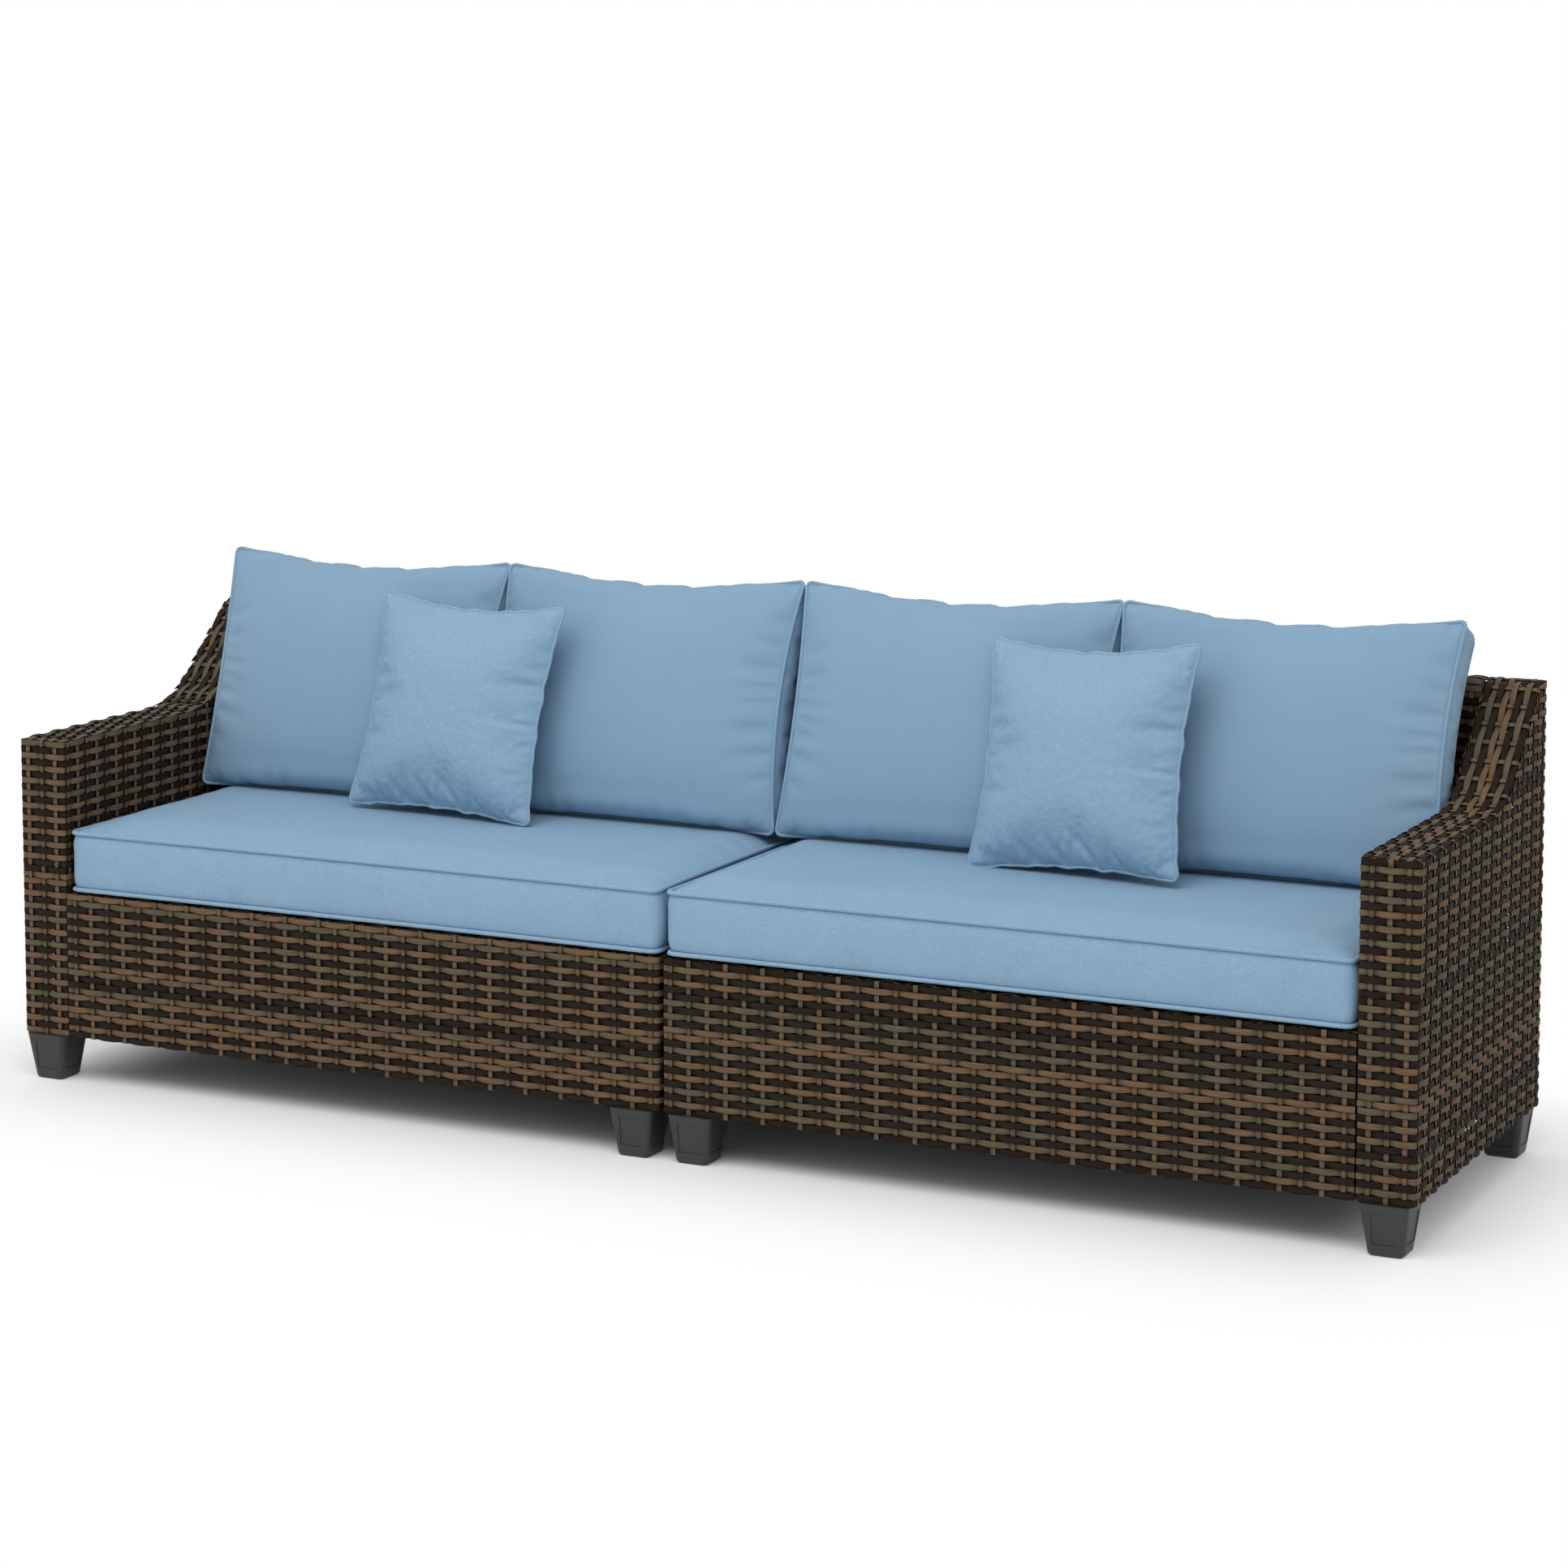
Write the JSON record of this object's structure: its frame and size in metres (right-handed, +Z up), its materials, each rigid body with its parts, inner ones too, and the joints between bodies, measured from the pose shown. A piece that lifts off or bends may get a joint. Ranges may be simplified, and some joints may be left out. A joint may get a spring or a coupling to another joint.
{
  "type": "rattan garden sofa",
  "caption": "Long woven rattan garden sofa in a left and a right half that stand end to end, with sloping arms, seat and back cushions, throw pillows and tapered feet.",
  "frame": {"origin": "on the floor, under the middle of the sofa where its two halves meet", "axes": "+X along the sofa to the right as seen from the front, -Y towards the front, +Z up"},
  "size_m": [2.4, 0.661, 0.8371],
  "materials": {
    "rattan": "woven flat polyethylene strand, two browns, soft sheen",
    "powder_coat": "near-black powder coat on welded square steel tube",
    "foot_plastic": "moulded dark grey, fine satin",
    "zinc_steel": "zinc plated",
    "seat_fabric": "light steel blue outdoor fabric with a fine slub",
    "back_fabric": "light steel blue outdoor fabric, smooth plain weave",
    "pillow_fabric": "light steel blue outdoor fabric with a fine slub"
  },
  "bodies": {
    "left_module": {"left_base_frame": "powder_coat", "left_arm_frame": "powder_coat", "left_back_frame": "powder_coat", "left_base_weave": "rattan", "left_arm_weave": "rattan", "left_back_weave": "rattan", "left_seat_deck": "rattan", "left_inner_front_foot": "foot_plastic", "left_inner_front_foot_bolt": "zinc_steel", "left_inner_rear_foot": "foot_plastic", "left_inner_rear_foot_bolt": "zinc_steel", "left_outer_front_foot": "foot_plastic", "left_outer_front_foot_bolt": "zinc_steel", "left_outer_rear_foot": "foot_plastic", "left_outer_rear_foot_bolt": "zinc_steel", "left_arm_bolt_front_post": "zinc_steel", "left_arm_bolt_front_rail": "zinc_steel", "left_arm_bolt_rear_rail": "zinc_steel", "left_arm_bolt_rear_post": "zinc_steel", "left_back_bolt_inner": "zinc_steel", "left_back_bolt_outer": "zinc_steel"},
    "right_module": {"right_base_frame": "powder_coat", "right_arm_frame": "powder_coat", "right_back_frame": "powder_coat", "right_base_weave": "rattan", "right_arm_weave": "rattan", "right_back_weave": "rattan", "right_seat_deck": "rattan", "right_inner_front_foot": "foot_plastic", "right_inner_front_foot_bolt": "zinc_steel", "right_inner_rear_foot": "foot_plastic", "right_inner_rear_foot_bolt": "zinc_steel", "right_outer_front_foot": "foot_plastic", "right_outer_front_foot_bolt": "zinc_steel", "right_outer_rear_foot": "foot_plastic", "right_outer_rear_foot_bolt": "zinc_steel", "right_arm_bolt_front_post": "zinc_steel", "right_arm_bolt_front_rail": "zinc_steel", "right_arm_bolt_rear_rail": "zinc_steel", "right_arm_bolt_rear_post": "zinc_steel", "right_back_bolt_inner": "zinc_steel", "right_back_bolt_outer": "zinc_steel"},
    "left_seat_cushion": {"left_seat_cushion": "seat_fabric"},
    "left_inner_back_cushion": {"left_inner_back_cushion": "back_fabric"},
    "left_outer_back_cushion": {"left_outer_back_cushion": "back_fabric"},
    "left_throw_pillow": {"left_throw_pillow": "pillow_fabric"},
    "right_seat_cushion": {"right_seat_cushion": "seat_fabric"},
    "right_inner_back_cushion": {"right_inner_back_cushion": "back_fabric"},
    "right_outer_back_cushion": {"right_outer_back_cushion": "back_fabric"},
    "right_throw_pillow": {"right_throw_pillow": "pillow_fabric"}
  },
  "joints": [
    {"name": "right_module_pull", "type": "slide", "parent": "left_module", "child": "right_module", "axis": [1, 0, 0], "range_m": [0, 0.3]},
    {"name": "left_seat_cushion_lift", "type": "slide", "parent": "left_module", "child": "left_seat_cushion", "axis": [0, 0, 1], "range_m": [0, 0.4]},
    {"name": "left_inner_back_cushion_lift", "type": "slide", "parent": "left_seat_cushion", "child": "left_inner_back_cushion", "axis": [0, 0.2823, 0.9593], "range_m": [0, 0.42]},
    {"name": "left_outer_back_cushion_lift", "type": "slide", "parent": "left_seat_cushion", "child": "left_outer_back_cushion", "axis": [0, 0.2823, 0.9593], "range_m": [0, 0.42]},
    {"name": "left_throw_pillow_lift", "type": "slide", "parent": "left_seat_cushion", "child": "left_throw_pillow", "axis": [0, 0, 1], "range_m": [0, 0.38]},
    {"name": "right_seat_cushion_lift", "type": "slide", "parent": "right_module", "child": "right_seat_cushion", "axis": [0, 0, 1], "range_m": [0, 0.4]},
    {"name": "right_inner_back_cushion_lift", "type": "slide", "parent": "right_seat_cushion", "child": "right_inner_back_cushion", "axis": [0, 0.2823, 0.9593], "range_m": [0, 0.42]},
    {"name": "right_outer_back_cushion_lift", "type": "slide", "parent": "right_seat_cushion", "child": "right_outer_back_cushion", "axis": [0, 0.2823, 0.9593], "range_m": [0, 0.42]},
    {"name": "right_throw_pillow_lift", "type": "slide", "parent": "right_seat_cushion", "child": "right_throw_pillow", "axis": [0, 0, 1], "range_m": [0, 0.38]}
  ]
}
